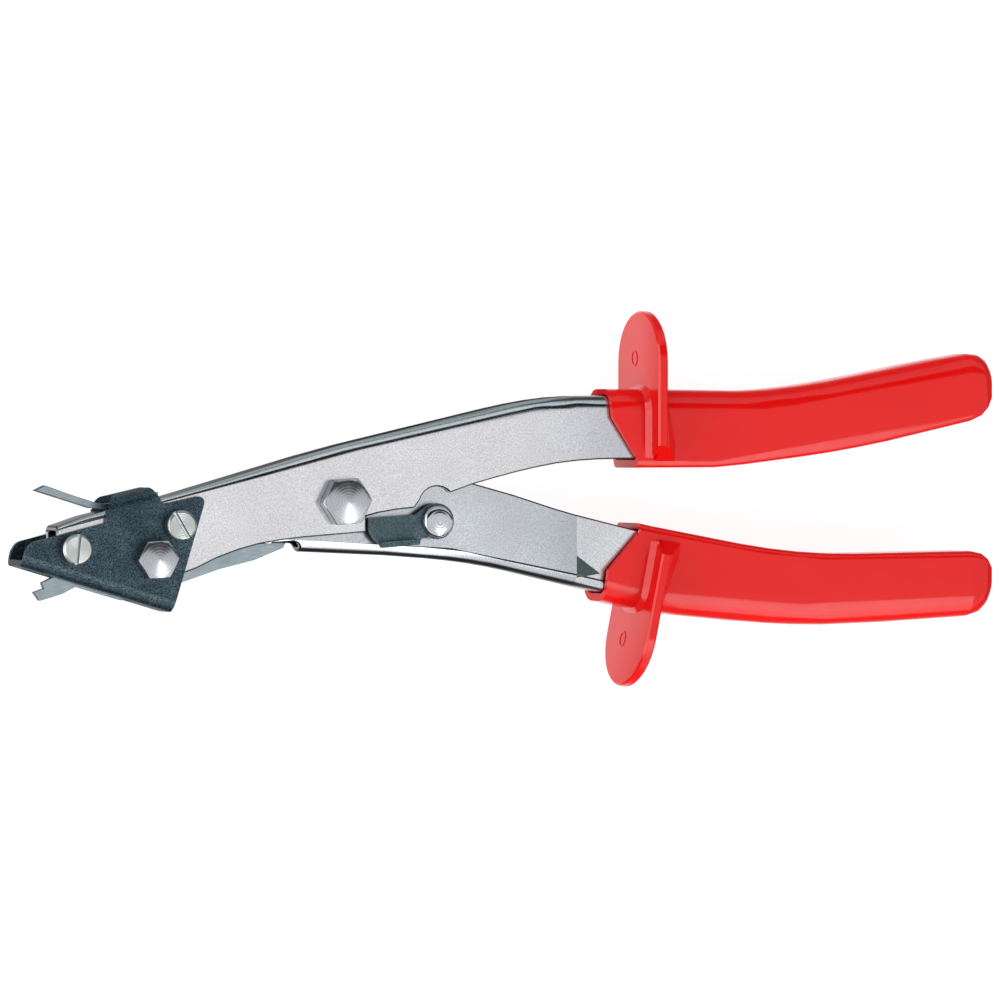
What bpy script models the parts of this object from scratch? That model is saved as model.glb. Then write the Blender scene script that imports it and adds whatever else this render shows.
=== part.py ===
"""Hand sheet-metal nibbler: two sheet-steel channel handles, a hooked punch blade and a folded die shoe.

The tool lies on its side. X runs from the cutting nose (-X) to the grips (+X), Y from the lower handle to
the upper handle, and Z along every pivot pin, with the screw heads facing up. Points below are written in
the tool's own frame, in millimetres from the main pivot at the middle of the tool's thickness.
"""

import math

import bmesh
import bpy
from mathutils import Vector

MM = 0.001

# Driving dimensions, in millimetres
GUARD_HALF_WIDTH = 16.5  # the guards are the widest pieces, so the tool lies on their rims
NOSE_X = -89.5
TAIL_X = 190.5
SHEET = 1.5  # steel of both handle channels
GAP = 0.3  # running gap between neighbouring pieces
PLASTIC = 1.8  # wall of the dipped grips

HEAD_HALF_WIDTH = 6.0  # outside of the upper channel, at the head
GRIP_HALF_WIDTH = 7.7  # outside of both channels, at the grips
HEAD_WIDTH_ENDS_X = -38.0
GRIP_WIDTH_STARTS_X = 77.0
HEAD_BEND_RADIUS = 1.8
GRIP_BEND_RADIUS = 3.9
FRAME_FRONT_X = -79.3
HANDLE_END_X = 183.0

MAIN_PIVOT = (0.6, -0.4)
BLADE_PIVOT = (-52.6, -15.7)
# Halfway between the two pivots, so that blade and handle turn equally
DRIVE_PIN = tuple((a + b) / 2 for a, b in zip(MAIN_PIVOT, BLADE_PIVOT))
CATCH_PIVOT = (26.3, -5.8)
SCREW_FRONT = (-75.0, -12.9)
SCREW_REAR = (-46.2, -6.6)

SHOE_PLATE = 1.8
SHOE_HALF_INSIDE = HEAD_HALF_WIDTH + GAP
SHOE_HALF_WIDTH = SHOE_HALF_INSIDE + SHOE_PLATE
BLADE_HALF_WIDTH = 1.3
MAIN_BOLT_RADIUS = 4.0
BLADE_BOLT_RADIUS = 3.0
DRIVE_PIN_RADIUS = 2.5
SCREW_RADIUS = 2.0
MAIN_HEX = 12.1  # across flats
BLADE_HEX = 10.0
SCREW_HEX = 7.0

# The frame's origin is the middle of the tool's box, on the surface that it lies on
SHIFT = Vector((-(NOSE_X + TAIL_X) / 2, 0.0, GUARD_HALF_WIDTH))

BODIES = {}


def start_empty():
    for old in list(bpy.data.objects):
        bpy.data.objects.remove(old, do_unlink=True)


def material(name, colour, metallic, roughness):
    made = bpy.data.materials.new(name)
    made.use_nodes = True
    shader = made.node_tree.nodes["Principled BSDF"]
    shader.inputs["Base Color"].default_value = (*colour, 1.0)
    shader.inputs["Metallic"].default_value = metallic
    shader.inputs["Roughness"].default_value = roughness
    return made


def body_frame(name, point):
    """An empty on a joint's axis, which the body's pieces hang from."""
    empty = bpy.data.objects.new(name, None)
    empty.location = (Vector((*point, 0.0)) + SHIFT) * MM
    bpy.context.scene.collection.objects.link(empty)
    BODIES[name] = (empty, point)


def place(name, mesh, look, body=None):
    """Links a mesh, given in tool millimetres, as an object, hung from its body's empty if it has one."""
    empty, point = BODIES.get(body, (None, (0.0, 0.0)))
    origin = Vector((*point, 0.0))
    for vertex in mesh.vertices:
        vertex.co = (vertex.co - origin) * MM
    mesh.materials.append(look)
    placed = bpy.data.objects.new(name, mesh)
    bpy.context.scene.collection.objects.link(placed)
    if empty is None:
        placed.location = (origin + SHIFT) * MM
    else:
        placed.parent = empty
    mesh.shade_smooth()
    mesh.set_sharp_from_angle(angle=math.radians(32))
    return placed


def as_mesh(built, name):
    bmesh.ops.recalc_face_normals(built, faces=built.faces)
    mesh = bpy.data.meshes.new(name)
    built.to_mesh(mesh)
    built.free()
    return mesh


def add_loft(built, rings, closed=False):
    """Skins rings of equal length, capping both ends, or joining the last ring to the first."""
    made = [[built.verts.new(point) for point in ring] for ring in rings]
    steps = list(zip(made, made[1:]))
    if closed:
        steps.append((made[-1], made[0]))
    else:
        built.faces.new(made[0])
        built.faces.new(made[-1])
    for low, high in steps:
        for i in range(len(low)):
            j = (i + 1) % len(low)
            built.faces.new((low[i], low[j], high[j], high[i]))


def loft(name, rings, closed=False):
    built = bmesh.new()
    add_loft(built, rings, closed)
    return as_mesh(built, name)


def prism(name, outline, low, high):
    return loft(name, [[(x, y, z) for x, y in outline] for z in (low, high)])


def prisms(name, pieces):
    """One mesh of several separate prisms, each (outline, low, high)."""
    built = bmesh.new()
    for outline, low, high in pieces:
        add_loft(built, [[(x, y, z) for x, y in outline] for z in (low, high)])
    return as_mesh(built, name)


def circle(centre, radius, points=24):
    turn = math.tau / points
    return [
        (centre[0] + radius * math.cos(i * turn), centre[1] + radius * math.sin(i * turn))
        for i in range(points)
    ]


def hexagon(centre, across_flats, turned=0.0, points=24):
    """A hexagon with the same number of points as a circle, so that the two can be skinned together."""
    outline = []
    for i in range(points):
        angle = i * math.tau / points
        from_flat = (angle + math.pi / 6) % (math.pi / 3) - math.pi / 6
        reach = across_flats / 2 / math.cos(from_flat)
        spun = angle + turned
        outline.append((centre[0] + reach * math.cos(spun), centre[1] + reach * math.sin(spun)))
    return outline


def at_height(outline, z):
    return [(x, y, z) for x, y in outline]


def rounded(corners, steps=4):
    """An outline from (x, y, radius) corners, each corner with a radius cut round by an arc."""
    outline = []
    for i, (x, y, radius) in enumerate(corners):
        here = Vector((x, y))
        before = Vector(corners[i - 1][:2]) - here
        after = Vector(corners[(i + 1) % len(corners)][:2]) - here
        if radius == 0:
            outline.append((x, y))
            continue
        half = before.angle(after) / 2
        centre = here + (before.normalized() + after.normalized()).normalized() * radius / math.sin(half)
        start = here + before.normalized() * radius / math.tan(half) - centre
        end = here + after.normalized() * radius / math.tan(half) - centre
        sweep = start.angle_signed(end)
        for k in range(steps + 1):
            angle = -sweep * k / steps
            turned = Vector((
                start.x * math.cos(angle) - start.y * math.sin(angle),
                start.x * math.sin(angle) + start.y * math.cos(angle),
            ))
            outline.append(tuple(centre + turned))
    return outline


def smooth_curve(points):
    """A function of x through the points, with slopes from their neighbours."""
    slopes = []
    for i in range(len(points)):
        left = points[max(i - 1, 0)]
        right = points[min(i + 1, len(points) - 1)]
        slopes.append((right[1] - left[1]) / (right[0] - left[0]))

    def height(x):
        i = 0
        while i < len(points) - 2 and x > points[i + 1][0]:
            i += 1
        span = points[i + 1][0] - points[i][0]
        t = min(max((x - points[i][0]) / span, 0.0), 1.0)
        start = points[i][1] * (1 + 2 * t) * (1 - t) ** 2 + slopes[i] * span * t * (1 - t) ** 2
        end = points[i + 1][1] * t * t * (3 - 2 * t) + slopes[i + 1] * span * t * t * (t - 1)
        return start + end

    return height


def between(x, x_low, x_high, low, high):
    share = min(max((x - x_low) / (x_high - x_low), 0.0), 1.0)
    return low + (high - low) * share


def stations(start, end, step):
    count = max(1, round((end - start) / step))
    return [start + (end - start) * i / count for i in range(count + 1)]


def arc(centre, radius, start, end, steps):
    """Points on an arc, angles in degrees."""
    found = []
    for i in range(steps + 1):
        angle = math.radians(start + (end - start) * i / steps)
        found.append((centre[0] + radius * math.cos(angle), centre[1] + radius * math.sin(angle)))
    return found


def cut(target, tool_mesh, operation="DIFFERENCE", body=None):
    """Takes the tool mesh off the target, or joins it on, by a Boolean that stays on the object."""
    cutter = place(tool_mesh.name, tool_mesh, target.data.materials[0], body)
    cutter.hide_render = True
    cutter.display_type = "WIRE"
    change = target.modifiers.new(tool_mesh.name, "BOOLEAN")
    change.operation = operation
    change.object = cutter


# ---- The two handle channels -------------------------------------------------------------------------

spine_height = smooth_curve([
    (-79.3, -6.8), (-68.0, -3.2), (-55.0, -0.6), (-42.3, 2.7), (-5.5, 13.3), (31.7, 22.1), (50.0, 26.2),
    (62.0, 27.9), (74.5, 28.3), (97.0, 28.0), (118.0, 27.9), (136.0, 29.8), (160.0, 34.2), (183.0, 38.2),
])
frame_edge_left = smooth_curve([
    (-79.3, -14.4), (-60.0, -18.8), (-47.0, -20.4), (-33.4, -14.9), (-25.3, -12.3), (-16.3, -10.7),
    (-2.8, -9.4), (7.0, -8.7),
])
frame_edge_right = smooth_curve([
    (7.0, -8.7), (31.3, 2.1), (44.0, 6.0), (58.9, 9.4), (70.0, 10.7), (84.0, 11.0), (108.0, 10.7),
    (123.0, 12.4), (139.0, 14.5), (155.0, 17.3), (171.0, 21.0), (183.0, 24.0),
])
web_height = smooth_curve([
    (-31.0, -13.6), (-12.0, -13.9), (7.5, -14.7), (22.4, -15.7), (34.6, -16.9), (44.9, -18.6),
    (56.0, -21.1), (67.0, -23.6), (78.0, -26.2), (92.8, -29.2), (107.8, -30.8), (119.5, -32.0),
    (135.4, -32.9), (151.2, -32.4), (171.0, -31.4), (183.0, -30.6),
])
lever_edge = smooth_curve([
    (-31.0, -4.6), (-26.0, -3.7), (-10.0, 4.5), (2.0, 8.3), (15.0, 8.9), (28.0, 7.3), (39.5, 3.9),
    (48.6, 1.5), (63.3, -3.1), (74.2, -5.9), (84.9, -8.6), (97.9, -10.9), (109.6, -13.3),
    (125.4, -15.9), (141.2, -17.1), (157.3, -17.0), (183.0, -16.9),
])
LEVER_FLARE_STARTS_X = 67.0
LEVER_FLARE_ENDS_X = 84.0
LEVER_BEND_RADIUS = 3.5
LEVER_WEB_FRONT_X = -10.8
LEVER_EAR_RADIUS = 4.0


def frame_half_width(x):
    return between(x, HEAD_WIDTH_ENDS_X, GRIP_WIDTH_STARTS_X, HEAD_HALF_WIDTH, GRIP_HALF_WIDTH)


def frame_bend_radius(x):
    return between(x, -45.0, 50.0, HEAD_BEND_RADIUS, GRIP_BEND_RADIUS)


def lever_half_width(x):
    """Narrow enough to run inside the frame, then flared to the grip's width."""
    inside = frame_half_width(x) - SHEET - GAP
    return between(x, LEVER_FLARE_STARTS_X, LEVER_FLARE_ENDS_X, inside, GRIP_HALF_WIDTH)


def channel_ring(x, web, edge, half, bend, side, thickness):
    """One U section: web at height web, open edges at height edge; side is +1 with the web on top."""
    steps = 4
    inner = max(bend - thickness, 0.3)

    def corner(z_sign, radius, web_level, half_level, backwards):
        ring = []
        for i in range(steps + 1):
            angle = math.pi / 2 * (steps - i if backwards else i) / steps
            z = half_level - radius + radius * math.cos(angle)
            y = web_level - side * (radius - radius * math.sin(angle))
            ring.append((x, y, z_sign * z))
        return ring

    ring = [(x, edge, half)]
    ring += corner(1, bend, web, half, False)
    ring += corner(-1, bend, web, half, True)
    ring += [(x, edge, -half), (x, edge, thickness - half)]
    ring += corner(-1, inner, web - side * thickness, half - thickness, False)
    ring += corner(1, inner, web - side * thickness, half - thickness, True)
    ring += [(x, edge, half - thickness)]
    return ring


def frame_notch():
    """The cut-out in both frame walls that the catch and its rivet need."""
    notch = [(6.9, -14.0), (6.9, -4.5), (10.7, -3.5), (15.5, -2.7), (20.6, -2.2)]
    notch += arc((27.0, -1.4), 5.0, 165.0, 25.0, 9)
    return notch + [(33.5, -4.0), (33.5, -14.0)]


def upper_frame(look):
    xs = stations(FRAME_FRONT_X, -47.0, 8.0) + stations(-47.0, 7.0, 6.0)[1:]
    xs += stations(7.0, 97.0, 6.0)[1:] + stations(97.0, HANDLE_END_X, 10.0)[1:]
    rings = []
    for x in xs:
        edge = frame_edge_left(x) if x < 7.0 else frame_edge_right(x)
        rings.append(channel_ring(
            x, spine_height(x), edge, frame_half_width(x), frame_bend_radius(x), 1, SHEET
        ))
    frame = place("upper_frame", loft("upper_frame", rings), look)
    reach = 20.0
    cut(frame, prisms("frame_cuts", [
        (frame_notch(), -reach, reach),
        (circle(MAIN_PIVOT, MAIN_BOLT_RADIUS + GAP), -reach, reach),
        (circle(BLADE_PIVOT, BLADE_BOLT_RADIUS + GAP), -reach, reach),
        (circle(SCREW_FRONT, SCREW_RADIUS + GAP, 16), -reach, reach),
        (circle(SCREW_REAR, SCREW_RADIUS + GAP, 16), -reach, reach),
    ]))


def lower_handle(look):
    xs = stations(-31.0, 8.0, 4.0) + stations(8.0, 67.0, 6.0)[1:]
    xs += stations(67.0, 84.0, 5.0)[1:] + stations(84.0, HANDLE_END_X, 10.0)[1:]
    rings = [
        channel_ring(x, web_height(x), lever_edge(x), lever_half_width(x), LEVER_BEND_RADIUS, -1, SHEET)
        for x in xs
    ]
    lever = place("lower_handle", loft("lower_handle", rings), look, "handle_axis")
    reach = 20.0
    ear = arc(DRIVE_PIN, LEVER_EAR_RADIUS, 270.0, 110.0, 8)
    front = [(-40.0, -30.0), (LEVER_WEB_FRONT_X, -30.0)]
    front += arc((LEVER_WEB_FRONT_X - 2.0, -13.2), 2.0, 0.0, 90.0, 3)
    front += ear + [(-29.0, 5.0), (-40.0, 5.0)]
    cut(lever, prisms("lever_cuts", [
        (front, -reach, reach),
        (circle(MAIN_PIVOT, MAIN_BOLT_RADIUS + GAP), -reach, reach),
        (circle(DRIVE_PIN, DRIVE_PIN_RADIUS + GAP), -reach, reach),
        (circle(CATCH_PIVOT, CATCH_PIN_RADIUS + GAP, 16), 0.0, reach),
    ]), body="handle_axis")


# ---- The cutting head --------------------------------------------------------------------------------

SOLE_FRONT = (NOSE_X, -17.4)
SOLE_REAR = (-47.8, -29.9)
SOLE_BEND_RADIUS = 3.2
HOOD_FRONT_X = -66.1
HOOD_REAR_X = -49.4
HOOD_BEND_RADIUS = 3.4
HOOD_SLIT = 0.4  # half the gap between the two tabs
HOOD_INSET = 0.05  # keeps the tabs' faces just inside the plates' where the two are joined
SLOT_FRONT_X = -87.2
SLOT_REAR_X = -57.0


def sole_height(x):
    slope = (SOLE_REAR[1] - SOLE_FRONT[1]) / (SOLE_REAR[0] - SOLE_FRONT[0])
    return SOLE_FRONT[1] + slope * (x - SOLE_FRONT[0])


def bevelled_prism(name, outline, half_width, edge, radius):
    """A prism about the middle plane, with both long edges of one outline side rounded over."""
    built = bmesh.new()
    add_loft(built, [at_height(outline, -half_width), at_height(outline, half_width)])
    ends = [Vector(point) for point in edge]
    rims = []
    for line in built.edges:
        places = [vertex.co.xy for vertex in line.verts]
        flat = abs(line.verts[0].co.z - line.verts[1].co.z) < 1e-6
        if flat and all(min((place - end).length for end in ends) < 1e-3 for place in places):
            rims.append(line)
    bmesh.ops.bevel(built, geom=rims, offset=radius, segments=4, profile=0.5, affect="EDGES")
    return as_mesh(built, name)


def hood_half(name, side):
    """One of the two tabs that fold over the frame's spine and meet, bar a slit, above the deflector."""
    shapes = ((HOOD_FRONT_X, -6.8, 0.6), (HOOD_REAR_X, -2.6, 4.4))
    outside = SHOE_HALF_WIDTH - HOOD_INSET
    inside = SHOE_HALF_INSIDE + HOOD_INSET
    rings = []
    for x, base, top in shapes:
        centre = (outside - HOOD_BEND_RADIUS, top - HOOD_BEND_RADIUS)
        outer = arc(centre, HOOD_BEND_RADIUS, 0.0, 90.0, 6)
        inner = arc(centre, HOOD_BEND_RADIUS - (outside - inside), 90.0, 0.0, 6)
        slit = [(HOOD_SLIT, top), (HOOD_SLIT, inner[0][1])]
        ring = [(outside, base), *outer, *slit, *inner, (inside, base)]
        rings.append([(x, y, side * z) for z, y in ring])
    return loft(name, rings)


def cutting_shoe(look):
    outline = [SOLE_FRONT, (-88.4, -13.2)]
    outline += arc((-84.9, -14.1), 3.4, 160.0, 105.0, 4)
    outline += [(-66.1, -5.8)]
    outline += rounded([(-51.0, -1.0, 0), (-38.3, 1.6, 1.6), SOLE_REAR + (0,)], 4)[:-1]
    outline.append(SOLE_REAR)
    shoe = place(
        "cutting_shoe",
        bevelled_prism("cutting_shoe", outline, SHOE_HALF_WIDTH, (SOLE_FRONT, SOLE_REAR), SOLE_BEND_RADIUS),
        look,
    )
    far = 12.0
    inner_sole = [
        (NOSE_X - far, sole_height(NOSE_X - far) + SHOE_PLATE),
        (SOLE_REAR[0] + far, sole_height(SOLE_REAR[0] + far) + SHOE_PLATE),
    ]
    cavity = inner_sole + [(SOLE_REAR[0] + 2 * far, 20.0), (NOSE_X - far, 20.0)]
    cut(shoe, prism("shoe_cavity", cavity, -SHOE_HALF_INSIDE, SHOE_HALF_INSIDE))
    for side, name in ((1, "hood_near"), (-1, "hood_far")):
        cut(shoe, hood_half(name, side), "UNION")
    reach = 20.0
    slot_half = BLADE_HALF_WIDTH + GAP
    slot = [(SLOT_FRONT_X, -40.0), (SLOT_REAR_X, -40.0), (SLOT_REAR_X, -20.0), (SLOT_FRONT_X, -10.0)]
    hood_end = [
        (-55.0, 9.0), (-54.0, 4.0), (-52.9, 2.9), (-51.7, 1.0), (-50.6, -0.7), (-48.8, -0.6), (-47.0, 9.0),
    ]
    cut(shoe, prisms("shoe_cuts", [
        (slot, -slot_half, slot_half),
        (hood_end, -reach, reach),
        (circle(BLADE_PIVOT, BLADE_BOLT_RADIUS + GAP), -reach, reach),
        (circle(SCREW_FRONT, SCREW_RADIUS + GAP, 16), -reach, reach),
        (circle(SCREW_REAR, SCREW_RADIUS + GAP, 16), -reach, reach),
    ]))
    side = SHOE_HALF_WIDTH + 1.0
    front = [(HOOD_FRONT_X - 4.0, side), (HOOD_FRONT_X - 0.2, side), (HOOD_FRONT_X + 4.6, 0.0)]
    front += [(x, -z) for x, z in front[1::-1]]
    cut(shoe, loft("hood_front", [[(x, y, z) for x, z in front] for y in (-2.4, 9.0)]))


def cutting_blade(look):
    """The punch: a hook that is pulled up through the slot, a pivot, and a tail with the pin's slot."""
    outline = [
        (-79.0, -20.4), (-82.1, -21.9), (-81.5, -23.4), (-84.3, -24.4), (-82.7, -26.7), (-79.4, -25.8),
        (-76.3, -24.8), (-72.8, -23.0), (-60.0, -26.75), (-58.6, -24.9), (-50.5, -24.5), (-42.0, -21.6),
        (-33.0, -18.6), (-22.8, -16.1), (-14.9, -12.9), (-13.8, -10.8), (-14.6, -7.4), (-18.5, -3.4),
        (-31.0, -3.6), (-41.0, -9.9), (-46.5, -11.2),
    ]
    outline += arc(BLADE_PIVOT, 6.4, 70.0, 150.0, 5)
    outline += [(-66.0, -18.2)]
    punch = prism("cutting_blade", outline, -BLADE_HALF_WIDTH, BLADE_HALF_WIDTH)
    blade = place("cutting_blade", punch, look, "blade_axis")
    slot_radius = DRIVE_PIN_RADIUS + 0.35
    along = Vector(DRIVE_PIN) - Vector(BLADE_PIVOT)
    lean = math.degrees(math.atan2(along.y, along.x))
    slot_end = Vector(DRIVE_PIN) + along.normalized() * 0.9
    slot = arc(DRIVE_PIN, slot_radius, lean + 90.0, lean + 270.0, 10)
    slot += arc(slot_end, slot_radius, lean - 90.0, lean + 90.0, 10)
    reach = 5.0
    cut(blade, prisms("blade_cuts", [
        (circle(BLADE_PIVOT, BLADE_BOLT_RADIUS + GAP), -reach, reach),
        (slot, -reach, reach),
    ]), body="blade_axis")


def chip_deflector(look):
    """A flat bar that points up and forward over the nose, bent to lie along the spine under the hood."""
    depth = 1.6
    lift = 0.15
    bar = 1.5
    bottom = [(-84.1, 2.7), (-75.9, 0.2), (-69.0, -2.0)]
    top = [(-81.3, 4.1), (-75.2, 1.9), (-67.6, -0.5)]
    under = stations(-65.0, -50.0, 4.0)
    bottom += [(x, spine_height(x) + lift) for x in under]
    top += [(x, spine_height(x) + lift + bar) for x in under]
    place("chip_deflector", prism("chip_deflector", bottom + top[::-1], -depth, depth), look)


# ---- Pins, bolts, nuts and washers -------------------------------------------------------------------

CATCH_PIN_RADIUS = 2.2
MAIN_BOLT_HEAD = 4.2
BLADE_BOLT_HEAD = 3.6
MAIN_WALL = frame_half_width(MAIN_PIVOT[0])
NUT_HEIGHT = 4.0
SCREW_NUT_HEIGHT = 3.2
BOLT_END = 1.2  # how far a bolt stands out of its nut
TIP_CHAMFER = 0.5
FACE_SHARE = 0.88  # round face of a hexagon, over its width across flats
CONE_SLOPE = 0.6
CROWN_RADIUS = 0.5
CROWN_RISE = 0.5
SCREW_HEAD_RADIUS = 4.1
SCREW_HEAD_HEIGHT = 3.4
SCREW_HEAD_CHAMFER = 0.6
SCREW_SLOT_HALF = 0.5
SCREW_SLOT_DEPTH = 1.2
SPACER_RADIUS = 2.8
BLADE_WASHER_RADIUS = 5.6
PIVOT_BUSH_RADIUS = 5.2


def turned_hexagon(centre, across_flats, spin, top):
    """A hexagon's rim and the round, slightly domed face above it, as a lathe leaves them."""
    flat = hexagon(centre, across_flats, spin)
    face_radius = across_flats / 2 * FACE_SHARE
    middle = Vector(centre)
    rim = []
    face = []
    for point in flat:
        outward = Vector(point) - middle
        drop = (outward.length - face_radius) * CONE_SLOPE
        rim.append((*point, top - drop))
        face.append((*(middle + outward.normalized() * face_radius), top))
    crown = at_height(circle(centre, CROWN_RADIUS), top + CROWN_RISE)
    return flat, rim, face, crown


def hex_bolt(name, centre, hex_size, spin, wall, radius, head, look):
    """Turned head on the near side, shank to just past the far nut."""
    under = wall + GAP
    end = -(wall + 2 * GAP + NUT_HEIGHT + BOLT_END)
    flat, rim, face, crown = turned_hexagon(centre, hex_size, spin, under + head)
    place(name, loft(name, [
        at_height(circle(centre, radius - TIP_CHAMFER), end),
        at_height(circle(centre, radius), end + TIP_CHAMFER),
        at_height(circle(centre, radius), under),
        at_height(flat, under),
        rim,
        face,
        crown,
    ]), look)


def hex_nut(name, centre, hex_size, hole, wall, height, look):
    top = -(wall + GAP)
    bottom = top - height
    flat = hexagon(centre, hex_size)
    bore = circle(centre, hole + GAP)
    place(name, loft(name, [
        at_height(flat, top), at_height(flat, bottom), at_height(bore, bottom), at_height(bore, top),
    ], closed=True), look)


def tube(name, centre, outer, inner, low, high, look, body=None, points=24):
    outside = circle(centre, outer, points)
    bore = circle(centre, inner, points)
    place(name, loft(name, [
        at_height(outside, low), at_height(outside, high), at_height(bore, high), at_height(bore, low),
    ], closed=True), look, body)


def slotted_screw(name, centre, slot_angle, look):
    """Cheese-head screw: a low round head with a straight slot."""
    rim = SCREW_HEAD_CHAMFER
    under = SHOE_HALF_WIDTH + GAP
    top = under + SCREW_HEAD_HEIGHT
    end = -(SHOE_HALF_WIDTH + 2 * GAP + SCREW_NUT_HEIGHT + 0.8)
    screw = place(name, loft(name, [
        at_height(circle(centre, SCREW_RADIUS), end),
        at_height(circle(centre, SCREW_RADIUS), under),
        at_height(circle(centre, SCREW_HEAD_RADIUS), under),
        at_height(circle(centre, SCREW_HEAD_RADIUS), top - rim),
        at_height(circle(centre, SCREW_HEAD_RADIUS - rim), top),
    ]), look)
    along = Vector((math.cos(slot_angle), math.sin(slot_angle)))
    across = Vector((-along.y, along.x)) * SCREW_SLOT_HALF
    length = SCREW_HEAD_RADIUS + 2.0
    ends = [Vector(centre) + along * length * sign for sign in (-1, 1)]
    slot = [ends[0] - across, ends[1] - across, ends[1] + across, ends[0] + across]
    cut(screw, prism(name + "_slot", [tuple(point) for point in slot], top - SCREW_SLOT_DEPTH, top + 2.0))


def fasteners(nickel, zinc):
    hex_bolt(
        "main_bolt", MAIN_PIVOT, MAIN_HEX, math.radians(34), MAIN_WALL, MAIN_BOLT_RADIUS,
        MAIN_BOLT_HEAD, nickel,
    )
    hex_nut("main_nut", MAIN_PIVOT, MAIN_HEX, MAIN_BOLT_RADIUS, MAIN_WALL + GAP, NUT_HEIGHT, nickel)
    wall = SHOE_HALF_WIDTH
    hex_bolt(
        "blade_bolt", BLADE_PIVOT, BLADE_HEX, math.radians(33), wall, BLADE_BOLT_RADIUS,
        BLADE_BOLT_HEAD, nickel,
    )
    hex_nut("blade_nut", BLADE_PIVOT, BLADE_HEX, BLADE_BOLT_RADIUS, wall, NUT_HEIGHT, nickel)
    slotted_screw("shoe_screw_front", SCREW_FRONT, math.radians(84), zinc)
    slotted_screw("shoe_screw_rear", SCREW_REAR, math.radians(-60), zinc)
    hex_nut("shoe_nut_front", SCREW_FRONT, SCREW_HEX, SCREW_RADIUS, wall, SCREW_NUT_HEIGHT, zinc)
    hex_nut("shoe_nut_rear", SCREW_REAR, SCREW_HEX, SCREW_RADIUS, wall, SCREW_NUT_HEIGHT, zinc)


def spacers(steel):
    """Sleeves that keep the channel walls apart under the screws, and centre the blade and the lever."""
    inside = HEAD_HALF_WIDTH - SHEET - GAP
    tube("spacer_front", SCREW_FRONT, SPACER_RADIUS, SCREW_RADIUS + GAP, -inside, inside, steel, points=16)
    tube("spacer_rear", SCREW_REAR, SPACER_RADIUS, SCREW_RADIUS + GAP, -inside, inside, steel, points=16)
    clear = BLADE_HALF_WIDTH + GAP
    bore = BLADE_BOLT_RADIUS + GAP
    tube("blade_washer_near", BLADE_PIVOT, BLADE_WASHER_RADIUS, bore, clear, inside, steel)
    tube("blade_washer_far", BLADE_PIVOT, BLADE_WASHER_RADIUS, bore, -inside, -clear, steel)
    bush = lever_half_width(MAIN_PIVOT[0]) - SHEET - GAP
    tube("pivot_bush", MAIN_PIVOT, PIVOT_BUSH_RADIUS, MAIN_BOLT_RADIUS + GAP, -bush, bush, steel)


def drive_pin(steel):
    half = lever_half_width(DRIVE_PIN[0])
    outline = circle(DRIVE_PIN, DRIVE_PIN_RADIUS)
    place("drive_pin", prism("drive_pin", outline, -half, half), steel, "handle_axis")


SPRING_WIRE_RADIUS = 0.75
SPRING_COIL_RADIUS = 6.4
SPRING_TURNS = 2.5
SPRING_SIDES = 14  # straight pieces in a turn
SPRING_PITCH = 1.7
SPRING_LEG_END_X = 22.0


def opening_spring(steel):
    """A torsion spring round the bush: one leg under the frame's spine, the other on the lever's web."""
    low_z = -SPRING_TURNS * SPRING_PITCH / 2
    off = SHEET + SPRING_WIRE_RADIUS + 2 * GAP
    upper_end = Vector((SPRING_LEG_END_X, spine_height(SPRING_LEG_END_X) - off, low_z))
    lower_end = Vector((SPRING_LEG_END_X, web_height(SPRING_LEG_END_X) + off, -low_z))
    points = [upper_end]
    for i in range(round(SPRING_TURNS * SPRING_SIDES) + 1):
        angle = math.radians(100) + math.tau * i / SPRING_SIDES
        x = MAIN_PIVOT[0] + SPRING_COIL_RADIUS * math.cos(angle)
        y = MAIN_PIVOT[1] + SPRING_COIL_RADIUS * math.sin(angle)
        points.append(Vector((x, y, low_z + SPRING_PITCH * i / SPRING_SIDES)))
    points.append(lower_end)
    curve = bpy.data.curves.new("opening_spring", "CURVE")
    curve.dimensions = "3D"
    curve.bevel_depth = SPRING_WIRE_RADIUS * MM
    curve.bevel_resolution = 2
    curve.use_fill_caps = True
    line = curve.splines.new("POLY")
    line.points.add(len(points) - 1)
    for made, point in zip(line.points, points):
        made.co = (*(point * MM), 1.0)
    curve.materials.append(steel)
    spring = bpy.data.objects.new("opening_spring", curve)
    spring.location = SHIFT * MM
    bpy.context.scene.collection.objects.link(spring)


# ---- The catch that locks the handles ----------------------------------------------------------------

CATCH_BOTTOM = frame_half_width(CATCH_PIVOT[0]) + GAP
CATCH_THICKNESS = 1.6
CATCH_EYE_RADIUS = 4.9
LIP_HEIGHT = 2.2
RIVET_HEAD_RADIUS = 4.35
RIVET_FOOT_RADIUS = 3.2
CATCH_WASHER_RADIUS = 3.6


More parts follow.
